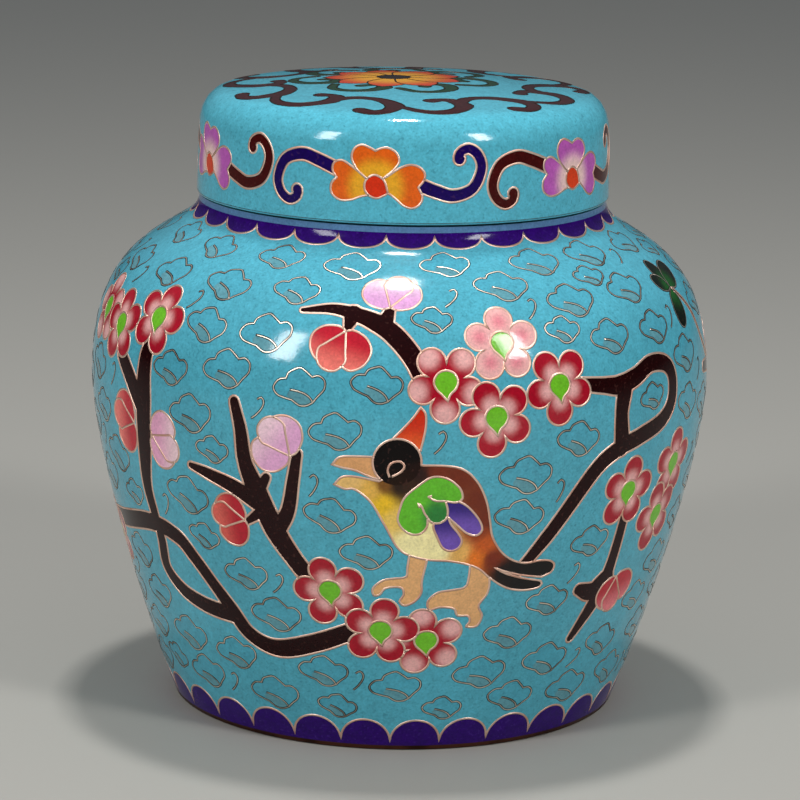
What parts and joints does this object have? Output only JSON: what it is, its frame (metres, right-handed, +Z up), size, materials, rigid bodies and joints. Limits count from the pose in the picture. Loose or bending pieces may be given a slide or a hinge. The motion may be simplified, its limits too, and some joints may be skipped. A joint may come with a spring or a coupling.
{
  "type": "ginger jar",
  "caption": "Round-bellied cloisonné enamel ginger jar with a low foot, hollow and empty, under a loose cap lid that lifts off.",
  "frame": {"origin": "middle of the foot ring's underside, on the surface that the jar stands on", "axes": "+Z up along the jar's axis; the side with the painted bird faces -Y"},
  "size_m": [0.1198, 0.1198, 0.1209],
  "materials": {
    "jar_enamel": "glossy turquoise fired enamel on copper, with thin copper wires between its colours",
    "lid_enamel": "glossy turquoise fired enamel on copper, with thin copper wires between its colours"
  },
  "bodies": {
    "root": {"jar": "jar_enamel", "lid": "lid_enamel"}
  },
  "joints": []
}
